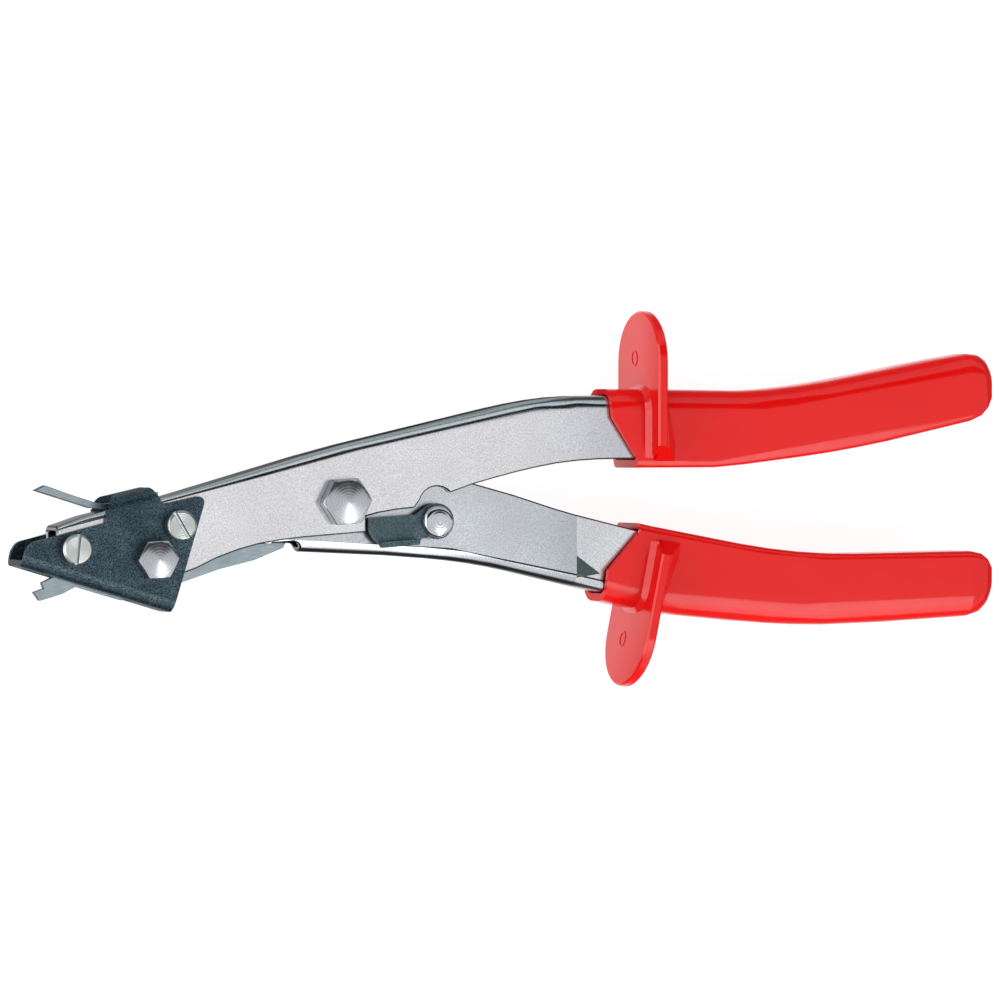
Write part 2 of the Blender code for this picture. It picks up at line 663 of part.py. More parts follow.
def handle_catch(black, nickel):
    """A lever beside the frame wall, riveted to the lower handle, with a lip for the thumb."""
    top = CATCH_BOTTOM + CATCH_THICKNESS
    outline = [(22.0, -10.6)] + arc(CATCH_PIVOT, CATCH_EYE_RADIUS, 240.0, 480.0, 14)
    outline += [(20.4, -4.0), (13.4, -4.5)]
    outline += [(7.1, -4.9), (7.2, -8.3), (8.2, -10.2), (10.4, -12.4), (20.8, -11.6)]
    catch = place("handle_catch", prism("handle_catch", outline, CATCH_BOTTOM, top), black, "catch_axis")
    lip = rounded([(10.4, -12.9, 0), (20.8, -12.1, 0.6), (21.0, -10.6, 0.4), (10.2, -11.3, 0)], 2)
    cut(catch, prism("catch_lip", lip, CATCH_BOTTOM + 0.2, top + LIP_HEIGHT), "UNION", "catch_axis")
    hole = circle(CATCH_PIVOT, CATCH_PIN_RADIUS + GAP, 16)
    cut(catch, prism("catch_hole", hole, 0.0, 20.0), body="catch_axis")

    lever_wall = lever_half_width(CATCH_PIVOT[0])
    head = top + GAP
    shoulder = lever_wall - SHEET - GAP
    profile = [
        (RIVET_FOOT_RADIUS, shoulder - 1.0), (RIVET_FOOT_RADIUS, shoulder),
        (CATCH_PIN_RADIUS, shoulder), (CATCH_PIN_RADIUS, head),
        (RIVET_HEAD_RADIUS, head), (RIVET_HEAD_RADIUS, head + 0.9),
        (4.15, head + 1.5), (3.7, head + 1.95), (3.0, head + 2.2), (1.5, head + 2.4),
    ]
    rivet = loft("catch_rivet", [at_height(circle(CATCH_PIVOT, radius), z) for radius, z in profile])
    place("catch_rivet", rivet, nickel, "handle_axis")
    tube(
        "catch_washer", CATCH_PIVOT, CATCH_WASHER_RADIUS, CATCH_PIN_RADIUS + GAP,
        lever_wall + GAP, CATCH_BOTTOM - GAP, nickel, "handle_axis", 20,
    )


# ---- The dipped plastic grips ------------------------------------------------------------------------

BEND_CORNER = GRIP_BEND_RADIUS + GAP + PLASTIC
OPEN_CORNER = 2.0
SLEEVE_END_RADIUS = 8.0
GUARD_THICKNESS = 2.8
GUARD_ARCH_BASE = 18.2
GUARD_ARCH_HEIGHT = 14.0
SLEEVE_HALF_WIDTH = GRIP_HALF_WIDTH + GAP + PLASTIC
SLEEVE_HALF_HEIGHT = 10.7  # beside the guards
COLLAR_SPREAD = 1.6
COLLAR_INNER = -8.4
RING_HEIGHT = 0.2
RING_OUT = 19.3
RING_Z = -2.8

upper_grip_top = smooth_curve([
    (74.0, 30.1), (97.0, 30.0), (118.0, 29.8), (136.0, 31.7), (154.0, 34.9), (170.0, 38.0), (181.0, 39.9),
    (192.0, 41.5),
])
upper_grip_bottom = smooth_curve([
    (74.0, 8.5), (97.0, 8.6), (108.0, 8.7), (123.3, 10.4), (139.3, 12.5), (155.3, 15.3), (171.0, 18.8),
    (184.0, 21.7), (192.0, 23.4),
])
lower_grip_top = smooth_curve([
    (68.0, -2.8), (86.8, -7.0), (97.9, -9.1), (109.6, -11.4), (125.4, -13.9), (141.2, -15.1),
    (157.3, -15.0), (183.7, -14.6), (192.0, -14.3),
])
lower_grip_bottom = smooth_curve([
    (68.0, -26.2), (76.6, -28.3), (92.8, -31.3), (107.8, -32.9), (119.5, -34.0), (135.4, -34.8),
    (151.2, -34.5), (171.0, -33.5), (192.0, -32.2),
])


def sleeve_ring(x, low, high, half, low_corner, high_corner):
    """A rectangle across the handle with rounded corners, of one radius below and another above."""
    steps = 4
    ring = []
    for y_sign, z_sign, first in ((1, 1, 0.0), (1, -1, 90.0), (-1, -1, 180.0), (-1, 1, 270.0)):
        corner = high_corner if y_sign > 0 else low_corner
        for i in range(steps + 1):
            angle = math.radians(first + 90.0 * i / steps)
            z = z_sign * (half - corner) + corner * math.cos(angle)
            y_centre = high - corner if y_sign > 0 else low + corner
            ring.append((x, y_centre + corner * math.sin(angle), z))
    return ring


def sleeve(name, low_edge, high_edge, start, side):
    """The outer skin: round over the channel's bends, squarer over its open edges, and with a round end."""
    half = SLEEVE_HALF_WIDTH
    low_corner, high_corner = (OPEN_CORNER, BEND_CORNER) if side > 0 else (BEND_CORNER, OPEN_CORNER)
    rings = []
    for x in stations(start, TAIL_X - SLEEVE_END_RADIUS, 8.5):
        rings.append(sleeve_ring(x, low_edge(x), high_edge(x), half, low_corner, high_corner))
    for degrees in (25, 45, 65, 80):
        turn = math.radians(degrees)
        x = TAIL_X - SLEEVE_END_RADIUS + SLEEVE_END_RADIUS * math.sin(turn)
        inset = SLEEVE_END_RADIUS * (1 - math.cos(turn))
        rings.append(sleeve_ring(
            x, low_edge(x) + inset, high_edge(x) - inset, half - inset * 0.75,
            low_corner - inset * 0.3, high_corner - inset * 0.3,
        ))
    last = [(TAIL_X, y, z * 0.9) for x, y, z in rings[-1]]
    return loft(name, rings + [last])


def leaning(points, middle, side, tilt):
    """Points (along X, away from the sleeve's middle, Z) turned to a guard's lean and put in its place."""
    moved = []
    for x, out, z in points:
        along = side * out
        moved.append((
            middle[0] + x * math.cos(tilt) - along * math.sin(tilt),
            middle[1] + x * math.sin(tilt) + along * math.cos(tilt),
            z,
        ))
    return moved


def guard_plate(name, middle, side, tilt):
    """The finger guard: an arch outside the grip, as wide beside the sleeve, with chamfered rims."""
    chamfer = 0.5
    back = GUARD_THICKNESS - chamfer
    rings = []
    for x, inset in ((0.0, chamfer), (chamfer, 0.0), (back, 0.0), (GUARD_THICKNESS, chamfer)):
        half = GUARD_HALF_WIDTH - inset
        arch = arc((0.0, 0.0), 1.0, 0.0, 180.0, 16)
        outline = [(half * z, GUARD_ARCH_BASE + (GUARD_ARCH_HEIGHT - inset) * out) for z, out in arch]
        outline += [(-half, -4.7), (-9.0, -8.6), (9.0, -8.6), (half, -4.7)]
        rings.append(leaning([(x, out, z) for z, out in outline], middle, side, tilt))
    return loft(name, rings)


def guard_collar(name, middle, side, tilt):
    """The sloping root of the guard's front face, round the sleeve on all sides but the inner one."""
    rings = []
    for x, spread in ((-COLLAR_SPREAD, -0.1), (0.3, COLLAR_SPREAD)):
        high = SLEEVE_HALF_HEIGHT + spread
        half = SLEEVE_HALF_WIDTH + spread
        section = sleeve_ring(x, COLLAR_INNER, high, half, 0.5, BEND_CORNER + spread)
        rings.append(leaning(section, middle, side, tilt))
    return loft(name, rings)


def guard_ring(name, middle, side, tilt):
    """The low moulded ring on the guard's front face."""
    rings = []
    for x, outer, inner in ((0.3, 2.4, 1.6), (-RING_HEIGHT, 2.2, 1.8)):
        for radius in (outer, inner):
            outline = circle((RING_Z, RING_OUT), radius, 20)
            rings.append(leaning([(x, out, z) for z, out in outline], middle, side, tilt))
    bottom_outer, bottom_inner, top_outer, top_inner = rings
    return loft(name, [bottom_outer, top_outer, top_inner, bottom_inner], closed=True)


def guard_gusset(name, middle, side, tilt, z_side):
    """The web behind the guard, on one side of the sleeve, that widens down to a foot."""
    root = 9.3
    rings = []
    for out, foot, rim, height in (
        (12.0, 3.2, 2.6, 12.0), (9.5, 5.0, 2.7, 15.6), (2.0, 6.4, 3.0, 15.6), (-5.0, 7.6, 3.4, 15.4),
        (-8.9, 8.1, 6.8, 10.0),
    ):
        triangle = [(1.2, out, root), (foot, out, root), (rim, out, height), (1.2, out, height)]
        rings.append(leaning([(x, o, z_side * z) for x, o, z in triangle], middle, side, tilt))
    return loft(name, rings)


def grip(name, low_edge, high_edge, web, edge, start, guard, front_cut, look, body=None):
    """A sleeve closed at its far end, with the finger guard on its outer side."""
    middle, side, tilt = guard
    skin = place(name, sleeve(name, low_edge, high_edge, start, side), look, body)
    cut(skin, guard_plate(name + "_guard", middle, side, tilt), "UNION", body)
    cut(skin, guard_collar(name + "_collar", middle, side, tilt), "UNION", body)
    cut(skin, guard_ring(name + "_ring", middle, side, tilt), "UNION", body)
    for z_side, which in ((1, "_gusset_near"), (-1, "_gusset_far")):
        cut(skin, guard_gusset(name + which, middle, side, tilt, z_side), "UNION", body)
    low, high = (web, edge) if side < 0 else (edge, web)
    bend = (GRIP_BEND_RADIUS if side > 0 else LEVER_BEND_RADIUS) + GAP
    low_corner, high_corner = (GAP, bend) if side > 0 else (bend, GAP)
    rings = []
    for x in stations(start - 10.0, HANDLE_END_X + 0.6, 10.0):
        inside = min(max(x, start), HANDLE_END_X)
        half = max(lever_half_width(inside), frame_half_width(inside)) + GAP
        rings.append(sleeve_ring(
            x, low(inside) - GAP, high(inside) + GAP, half, low_corner, high_corner
        ))
    cut(skin, prism(name + "_front", front_cut, -25.0, 25.0), body=body)
    cut(skin, loft(name + "_inside", rings), body=body)


def grips(plastic):
    grip(
        "upper_grip", upper_grip_bottom, upper_grip_top, spine_height, frame_edge_right, 73.0,
        ((87.4, 19.3), 1, 0.0),
        [(60.0, 40.0), (76.9, 40.0), (76.2, 25.0), (76.6, 22.2), (83.7, 11.0), (84.2, 0.0), (60.0, 0.0)],
        plastic,
    )
    grip(
        "lower_grip", lower_grip_bottom, lower_grip_top, web_height, lever_edge, 71.0,
        ((87.6, -19.453), -1, math.radians(-11.0)),
        [(60.0, 2.0), (84.9, 2.0), (84.6, -8.5), (75.3, -19.4), (74.9, -23.0), (74.9, -40.0), (60.0, -40.0)],
        plastic, "handle_axis",
    )


def build():
    start_empty()
    body_frame("handle_axis", MAIN_PIVOT)
    body_frame("blade_axis", BLADE_PIVOT)
    body_frame("catch_axis", CATCH_PIVOT)
    satin = material("satin_nickel", (0.62, 0.63, 0.65), 1.0, 0.32)
    nickel = material("bright_nickel", (0.72, 0.72, 0.74), 1.0, 0.22)
    zinc = material("zinc_plate", (0.66, 0.67, 0.68), 1.0, 0.3)
    ground = material("ground_tool_steel", (0.6, 0.61, 0.63), 1.0, 0.35)
    spring_wire = material("spring_wire", (0.3, 0.31, 0.33), 1.0, 0.35)
    burnished = material("burnished_black", (0.035, 0.055, 0.065), 0.8, 0.42)
    plastic = material("red_plastic", (0.8, 0.03, 0.025), 0.0, 0.25)
    upper_frame(satin)
    lower_handle(satin)
    cutting_shoe(burnished)
    cutting_blade(ground)
    chip_deflector(ground)
    fasteners(nickel, zinc)
    spacers(zinc)
    drive_pin(ground)
    opening_spring(spring_wire)
    handle_catch(burnished, nickel)
    grips(plastic)


build()
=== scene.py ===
"""Looks for the hand sheet-metal nibbler: procedural materials, crisp edges, floor, light and camera.

Everything is in metres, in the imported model's own frame: +X to the grips, +Y to the upper handle and +Z
along the pivots, away from the floor that the tool lies on.
"""

import math

import bpy
from mathutils import Matrix, Vector


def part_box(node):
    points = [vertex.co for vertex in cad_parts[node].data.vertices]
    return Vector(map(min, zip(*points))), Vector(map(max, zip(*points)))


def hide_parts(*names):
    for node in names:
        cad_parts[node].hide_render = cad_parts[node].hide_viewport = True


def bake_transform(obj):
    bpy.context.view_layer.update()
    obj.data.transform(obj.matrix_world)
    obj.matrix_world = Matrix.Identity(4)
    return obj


MM = 0.001

# The photographer's viewpoint: nearly straight down on the tool, leaning 19 degrees to its nose
VIEW_LEAN = math.radians(19.0)
VIEW_RISE = math.radians(0.5)
VIEW_DISTANCE = 2.0
VIEW_TARGET = Vector((-0.00815, -0.00006, 0.03108))
VIEW_LENS = 266.4
SENSOR = 36.0

SHEETS = ("upper_frame", "lower_handle")
GRIPS = ("upper_grip", "lower_grip")
HEXAGONS = ("main_bolt", "main_nut", "blade_bolt", "blade_nut")
POLISHED_ROUNDS = ("catch_rivet", "catch_washer", "pivot_bush", "blade_washer_near", "blade_washer_far")
ZINC_ROUNDS = (
    "shoe_screw_front", "shoe_screw_rear", "shoe_nut_front", "shoe_nut_rear", "spacer_front", "spacer_rear",
)

# Edges: how the CAD's flat faces are joined, bevelled and shaded
WELD_REACH = 0.001 * MM
FLAT_ANGLE = math.radians(1.0)  # faces this near to one plane are joined
BEVEL_ANGLE = math.radians(34.0)  # edges sharper than this are bevelled
METAL_CREASE_ANGLE = math.radians(28.0)  # and shaded as a crease, on metal
PLASTIC_CREASE_ANGLE = math.radians(50.0)  # and on plastic
FACE_WEIGHT = 70
EDGE_WIDTH = 0.15  # of a bevel, in millimetres, but for these
EDGE_WIDTHS = {
    "upper_grip": 0.35, "lower_grip": 0.35, "cutting_shoe": 0.3, "handle_catch": 0.3, "opening_spring": 0.0,
    "upper_frame": 0.4, "lower_handle": 0.4,
}

# Nickel: it turns greyer between these two places along X, in metres
GREYS_FROM = 0.0
GREYS_TO = 0.03
PAINTED_LIGHT_FROM = 17.0 * MM  # the lower handle is painted paler from here to its grip: painted light on its wall past the pressed step
NO_PAINTED_LIGHT = 1.0  # a place past the end of the tool, so that no painted light falls on the plate
DENT_FLOOR = (0.17, -24.3 * MM)  # slope and height of the lower side of the painted shade on the dent
DENT_ROOF = (-0.76, -2.4 * MM)  # slope and height of its upper side

# Mirrored floor: it changes between these places, from web to spine along Y and to the grips along X
SPINE_FROM = -0.02
SPINE_TO = 0.02
GRIPS_FROM = 0.02
GRIPS_TO = 0.03

# Studio: strengths of the mirrored lights, the floor's tone and glow, and name, place and watts of each fill
KEY_STRENGTH = 3.2
NOSE_STRENGTH = 3.0
FLOOR_GREY = 0.25
FLOOR_GLOW = 0.88
FLOOR_REACH = 3.0
FILL_SIZE = (1.6, 1.0)
FILLS = (("fill_far", (0.0, 1.25, 0.5), 8.5), ("fill_near", (0.2, -1.25, 0.4), 7.5))


# ---- Shader helpers ----------------------------------------------------------------------------------

class Tree:
    """A short way to write a node tree."""

    def __init__(self, owner):
        owner.use_nodes = True
        self.nodes = owner.node_tree.nodes
        self.links = owner.node_tree.links
        self.nodes.clear()

    def add(self, kind, settings=None, **inputs):
        made = self.nodes.new("ShaderNode" + kind)
        for name, value in (settings or {}).items():
            setattr(made, name, value)
        for name, value in inputs.items():
            self.set(made, name.replace("_", " "), value)
        return made

    def set(self, made, name, value):
        socket = made.inputs[int(name)] if name.isdigit() else made.inputs[name]
        if isinstance(value, bpy.types.NodeSocket):
            self.links.new(value, socket)
        else:
            socket.default_value = value

    def math(self, operation, *values):
        made = self.add("Math", {"operation": operation})
        for i, value in enumerate(values):
            self.set(made, str(i), value)
        return made.outputs[0]

    def ramp(self, value, stops):
        """A colour ramp through (position, grey or colour) stops."""
        made = self.add("ValToRGB", Fac=value)
        band = made.color_ramp
        while len(band.elements) < len(stops):
            band.elements.new(0.5)
        for element, (position, colour) in zip(band.elements, stops):
            if not isinstance(colour, tuple):
                colour = (colour, colour, colour)
            element.position = position
            element.color = (*colour, 1.0)
        return made.outputs["Color"]

    def noise(self, place, scale, detail=2.0, roughness=0.5):
        made = self.add("TexNoise", Vector=place, Scale=scale, Detail=detail, Roughness=roughness)
        return made.outputs["Fac"]

    def mix(self, share, first, second, blend="MIX"):
        made = self.add("Mix", {"data_type": "RGBA", "blend_type": blend})
        self.set(made, "0", share)
        self.set(made, "6", first)
        self.set(made, "7", second)
        return made.outputs[2]

    def vector(self, operation, first, second):
        made = self.add("VectorMath", {"operation": operation})
        self.set(made, "0", first)
        self.set(made, "1", second)
        return made.outputs[0]

    def axes(self, value):
        """The X, Y and Z of a vector."""
        made = self.add("SeparateXYZ")
        self.links.new(value, made.inputs[0])
        return [made.outputs[axis] for axis in "XYZ"]

    def down_turn(self):
        """How far a face looks to -Y: 0 to +Y, 0.5 across, 1 to -Y."""
        _, y, _ = self.axes(self.add("NewGeometry").outputs["Normal"])
        return self.math("MULTIPLY_ADD", y, -0.5, 0.5)


def new_material(name):
    """An empty material, its tree, and the place on the object in metres."""
    made = bpy.data.materials.new(name)
    tree = Tree(made)
    place = tree.add("TexCoord").outputs["Object"]
    return made, tree, place


def finish_material(tree, colour, roughness, height=None, bump=0.0, **fixed):
    """Ends a tree in a principled shader, with a tenth of a millimetre of relief at a bump of 1."""
    shader = tree.add("BsdfPrincipled")
    tree.set(shader, "Base Color", colour)
    tree.set(shader, "Roughness", roughness)
    for name, value in fixed.items():
        tree.set(shader, name.replace("_", " "), value)
    if height is not None:
        relief = tree.add("Bump", Strength=bump, Distance=0.1 * MM, Height=height)
        tree.links.new(relief.outputs["Normal"], shader.inputs["Normal"])
    out = tree.add("OutputMaterial")
    tree.links.new(shader.outputs[0], out.inputs["Surface"])


# ---- Materials ---------------------------------------------------------------------------------------

def satin_nickel(name, near_head, near_grip, painted_light_from=NO_PAINTED_LIGHT):
    """Nickel plate over pressed sheet: fine grain, greyer towards the grips, with painted light and shade.

    Past a given place along X the plate is painted paler: painted light on the wall past the pressed step.
    There a triangle on the dent gets painted shade, and a painted dark reflection runs where the wall bends
    to -Y.
    """
    made, tree, place = new_material(name)
    grain = tree.noise(place, 2600.0, 3.0, 0.7)
    cloud = tree.noise(place, 60.0, 2.0)
    x, y, _ = tree.axes(place)
    toward_grips = tree.add("MapRange", Value=x)
    tree.set(toward_grips, "From Min", GREYS_FROM)
    tree.set(toward_grips, "From Max", GREYS_TO)
    base = tree.mix(toward_grips.outputs[0], near_head, near_grip)
    # painted light: the plate past the pressed step on the lower handle is painted paler
    painted_light = tree.math("GREATER_THAN", x, painted_light_from)
    base = tree.mix(painted_light, base, (0.78, 0.80, 0.83, 1.0))
    # painted reflection: a dark line where the wall starts to bend to -Y, standing for the dark band it
    # mirrors
    painted_dark_bend_line = tree.ramp(tree.down_turn(), [(0.52, 1.0), (0.53, 0.03), (0.58, 0.03), (0.60, 1.0)])
    base = tree.mix(1.0, base, painted_dark_bend_line, "MULTIPLY")
    # painted shade: a dark triangle where the pressed step's facet turns away from the light
    above = tree.math("GREATER_THAN", y, tree.math("MULTIPLY_ADD", x, *DENT_FLOOR))
    below = tree.math("LESS_THAN", y, tree.math("MULTIPLY_ADD", x, *DENT_ROOF))
    painted_dent_shade = tree.math("MULTIPLY", painted_light, tree.math("MULTIPLY", above, below))
    base = tree.mix(painted_dent_shade, base, (0.09, 0.12, 0.12, 1.0))
    speckled = tree.mix(0.7, base, tree.ramp(grain, [(0.3, 0.5), (0.7, 1.0)]), "MULTIPLY")
    clouded = tree.mix(0.12, speckled, tree.ramp(cloud, [(0.35, 0.7), (0.65, 1.0)]), "MULTIPLY")
    roughness = tree.ramp(cloud, [(0.3, 0.16), (0.7, 0.22)])
    finish_material(tree, clouded, roughness, grain, 0.1, Metallic=1.0)
    return made


def sheared_edge():
    """Darker plate on the bevelled edges of the sheet: a painted dark outline for the shade and dark
    reflection along them.
    """
    made, tree, place = new_material("nickel_edge_painted_dark")
    grain = tree.noise(place, 1500.0, 2.0)
    base = tree.ramp(grain, [(0.3, (0.10, 0.12, 0.13)), (0.7, (0.22, 0.25, 0.27))])
    finish_material(tree, base, 0.3, Metallic=1.0)
    return made


def turned_metal(name, centre, colour, pitch, depth, roughness):
    """Bright plate with the turning marks of a lathe round an axis along Z."""
    made, tree, place = new_material(name)
    flat = tree.vector("MULTIPLY", tree.vector("SUBTRACT", place, centre), (1.0, 1.0, 0.0))
    radius = tree.add("VectorMath", {"operation": "LENGTH"})
    tree.links.new(flat, radius.inputs[0])
    wave = tree.math("SINE", tree.math("MULTIPLY", radius.outputs["Value"], math.tau / pitch))
    grain = tree.noise(place, 1800.0, 3.0, 0.6)
    height = tree.math("ADD", wave, tree.math("MULTIPLY", grain, 0.25))
    worn = tree.mix(0.3, colour, tree.ramp(grain, [(0.3, 0.6), (0.7, 1.0)]), "MULTIPLY")
    grooves = tree.ramp(tree.math("MULTIPLY_ADD", wave, 0.5, 0.5), [(0.05, 0.4), (0.35, 1.0)])
    base = tree.mix(0.12, worn, grooves, "MULTIPLY")
    finish_material(tree, base, roughness, height, depth, Metallic=1.0)
    return made


def ground_steel():
    """Tool steel off the grinding wheel: fine straight lines and a little staining."""
    made, tree, place = new_material("ground_tool_steel_lines")
    lines = tree.noise(tree.vector("MULTIPLY", place, (400.0, 5200.0, 400.0)), 1.0, 2.0)
    stain = tree.noise(place, 240.0, 3.0)
    stained = tree.ramp(stain, [(0.4, 0.0), (0.75, 1.0)])
    base = tree.mix(stained, (0.33, 0.39, 0.43, 1.0), (0.25, 0.31, 0.35, 1.0))
    streaked = tree.mix(0.3, base, tree.ramp(lines, [(0.3, 0.5), (0.7, 1.0)]), "MULTIPLY")
    finish_material(tree, streaked, 0.34, lines, 0.3, Metallic=1.0)
    return made


def burnished(name, dark, rubbed, pit):
    """Blue-black burnished steel, oiled: dark pits, paler worn patches, and a painted highlight along the
    bend to -Y.
    """
    made, tree, place = new_material(name)
    pits = tree.noise(place, 2200.0, 4.0, 0.8)
    wear = tree.noise(place, 180.0, 3.0, 0.6)
    tone = tree.mix(tree.ramp(wear, [(0.42, 0.0), (0.72, 1.0)]), dark, rubbed)
    # painted highlight: a pale teal band where the surface turns to face -Y
    painted_bend_highlight = tree.ramp(tree.down_turn(), [(0.52, 0.0), (0.56, 0.8), (0.66, 0.8), (0.70, 0.0)])
    tone = tree.mix(painted_bend_highlight, tone, (0.085, 0.135, 0.145, 1.0))
    base = tree.mix(1.0, tone, tree.ramp(pits, [(0.43, pit), (0.57, 1.0)]), "MULTIPLY")
    roughness = tree.ramp(pits, [(0.3, 0.22), (0.7, 0.36)])
    finish_material(tree, base, roughness, pits, 0.7, Metallic=0.65)
    return made


def red_plastic():
    """Glossy dipped plastic with a faint orange peel."""
    made, tree, place = new_material("red_dipped_plastic")
    peel = tree.noise(place, 220.0, 2.0)
    depth = tree.noise(place, 25.0, 1.0)
    base = tree.mix(depth, (0.65, 0.004, 0.004, 1.0), (0.69, 0.006, 0.005, 1.0))
    roughness = tree.ramp(peel, [(0.3, 0.14), (0.7, 0.2)])
    finish_material(tree, base, roughness, peel, 0.12, Metallic=0.0, IOR=1.42)
    return made


def spring_wire():
    """Dark drawn wire, oiled."""
    made, tree, place = new_material("oiled_spring_wire")
    drawn = tree.noise(place, 900.0, 3.0)
    base = tree.ramp(drawn, [(0.3, (0.10, 0.10, 0.11)), (0.7, (0.26, 0.26, 0.28))])
    finish_material(tree, base, 0.38, drawn, 0.3, Metallic=1.0)
    return made


def centre_of(node):
    """The middle of a CAD node's box."""
    low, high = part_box(node)
    return tuple((low + high) / 2)


def dress(nodes):
    """Gives every CAD node its material, and each sheet a second one, painted dark, for its bevelled edges.
    """
    upper_nickel = satin_nickel("satin_nickel_plate", (0.88, 0.88, 0.91, 1.0), (0.66, 0.68, 0.73, 1.0))
    lower_nickel = satin_nickel(
        "satin_nickel_plate_low", (0.67, 0.70, 0.74, 1.0), (0.47, 0.51, 0.56, 1.0), PAINTED_LIGHT_FROM,
    )
    # painted shade: the dark outline put on the sheets' bevelled edges
    edge = sheared_edge()
    black = burnished("burnished_steel", (0.042, 0.080, 0.110, 1.0), (0.082, 0.147, 0.184, 1.0), 0.1)
    catch_black = burnished(
        "burnished_steel_catch", (0.066, 0.112, 0.130, 1.0), (0.098, 0.158, 0.180, 1.0), 0.45,
    )
    red = red_plastic()
    steel = ground_steel()
    wire = spring_wire()
    looks = {
        "upper_frame": upper_nickel, "lower_handle": lower_nickel,
        "cutting_shoe": black, "handle_catch": catch_black,
        "cutting_blade": steel, "chip_deflector": steel, "drive_pin": steel,
        "opening_spring": wire,
        "upper_grip": red, "lower_grip": red,
    }
    for names, colour, pitch, depth, roughness in (
        (HEXAGONS, (0.52, 0.54, 0.57, 1.0), 0.8 * MM, 0.035, 0.26),
        (POLISHED_ROUNDS, (0.62, 0.64, 0.67, 1.0), 0.95 * MM, 0.08, 0.16),
        (ZINC_ROUNDS, (0.54, 0.58, 0.57, 1.0), 0.45 * MM, 0.15, 0.28),
    ):
        for name in names:
            looks[name] = turned_metal(name + "_plate", centre_of(name), colour, pitch, depth, roughness)
    for name, node in nodes.items():
        node.data.materials.clear()
        node.data.materials.append(looks[name])
        if name in SHEETS:
            node.data.materials.append(edge)


# ---- Edges -------------------------------------------------------------------------------------------

def smooth_group(name, angle):
    """A modifier that shades a mesh smooth, but for edges sharper than the angle."""
    group = bpy.data.node_groups.new(name, "GeometryNodeTree")
    group.interface.new_socket("Geometry", in_out="INPUT", socket_type="NodeSocketGeometry")
    group.interface.new_socket("Geometry", in_out="OUTPUT", socket_type="NodeSocketGeometry")
    nodes, links = group.nodes, group.links
    start = nodes.new("NodeGroupInput")
    end = nodes.new("NodeGroupOutput")
    smooth = nodes.new("GeometryNodeSetShadeSmooth")
    smooth.domain = "FACE"
    smooth.inputs["Shade Smooth"].default_value = True
    crease = nodes.new("GeometryNodeSetShadeSmooth")
    crease.domain = "EDGE"
    crease.inputs["Shade Smooth"].default_value = False
    edge = nodes.new("GeometryNodeInputMeshEdgeAngle")
    sharp = nodes.new("FunctionNodeCompare")
    sharp.operation = "GREATER_THAN"
    sharp.inputs[1].default_value = angle
    links.new(start.outputs[0], smooth.inputs["Geometry"])
    links.new(smooth.outputs[0], crease.inputs["Geometry"])
    links.new(edge.outputs["Unsigned Angle"], sharp.inputs[0])
    links.new(sharp.outputs[0], crease.inputs["Selection"])
    links.new(crease.outputs[0], end.inputs[0])
    return group


def soften(node, group, width, segments):
    """Joins a CAD node's flat faces, bevels its sharp edges in its last material, and shades it."""
    weld = node.modifiers.new("weld", "WELD")
    weld.merge_threshold = WELD_REACH
    if width > 0:
        flats = node.modifiers.new("flats", "DECIMATE")
        flats.decimate_type = "DISSOLVE"
        flats.angle_limit = FLAT_ANGLE
        bevel = node.modifiers.new("edge", "BEVEL")
        bevel.width = width
        bevel.segments = segments
        bevel.limit_method = "ANGLE"
        bevel.angle_limit = BEVEL_ANGLE
        bevel.use_clamp_overlap = node.name not in SHEETS
        bevel.material = len(node.data.materials) - 1
    shade = node.modifiers.new("smooth", "NODES")
    shade.node_group = group
    weighted = node.modifiers.new("weighted", "WEIGHTED_NORMAL")
    weighted.keep_sharp = True
    weighted.weight = FACE_WEIGHT


def soften_all(nodes, metal_shading):
    """Softens every CAD node, grips more roundly than metal."""
    plastic_shading = smooth_group("plastic_shading", PLASTIC_CREASE_ANGLE)
    for name, node in nodes.items():
        width = EDGE_WIDTHS.get(name, EDGE_WIDTH) * MM
        if name in GRIPS:
            soften(node, plastic_shading, width, 2)
        else:
            soften(node, metal_shading, width, 1)


def bend_spring(nodes, metal_shading):
    """Stands a softened copy of the spring in its place, and hides the CAD node's own spring."""
    made = bpy.data.objects.new("opening_spring_wire", nodes["opening_spring"].data.copy())
    bpy.context.scene.collection.objects.link(made)
    soften(made, metal_shading, 0.0, 1)
    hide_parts("opening_spring")
    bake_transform(made)


# ---- Stage -------------------------------------------------------------------------------------------

def fill_light(name, place, power):
    """A soft light aimed at the tool, which metal doesn't mirror."""
    light = bpy.data.lights.new(name, "AREA")
    light.shape = "RECTANGLE"
    light.size, light.size_y = FILL_SIZE
    light.energy = power
    lamp = bpy.data.objects.new(name, light)
    lamp.location = place
    lamp.rotation_euler = (-Vector(place)).to_track_quat("-Z", "Y").to_euler()
    lamp.visible_glossy = False
    bpy.context.scene.collection.objects.link(lamp)


def make_plane(name, height):
    """A wide level plane, marked as part of the stage."""
    mesh = bpy.data.meshes.new(name)
    reach = FLOOR_REACH
    corners = [(-reach, -reach), (reach, -reach), (reach, reach), (-reach, reach)]
    mesh.from_pydata([(x, y, height) for x, y in corners], [], [(0, 1, 2, 3)])
    plane = bpy.data.objects.new(name, mesh)
    bpy.context.scene.collection.objects.link(plane)
    return plane


def make_floor():
    """The white floor that the tool lies on."""
    floor = make_plane("floor", 0.0)
    made, tree, _ = new_material("pale_floor")
    grey = (FLOOR_GREY, FLOOR_GREY, FLOOR_GREY, 1.0)
    white = (1.0, 1.0, 1.0, 1.0)
    finish_material(
        tree, grey, 0.9, Emission_Color=white, Emission_Strength=FLOOR_GLOW, Specular_IOR_Level=0.0,
    )
    floor.data.materials.append(made)
    floor.visible_glossy = False


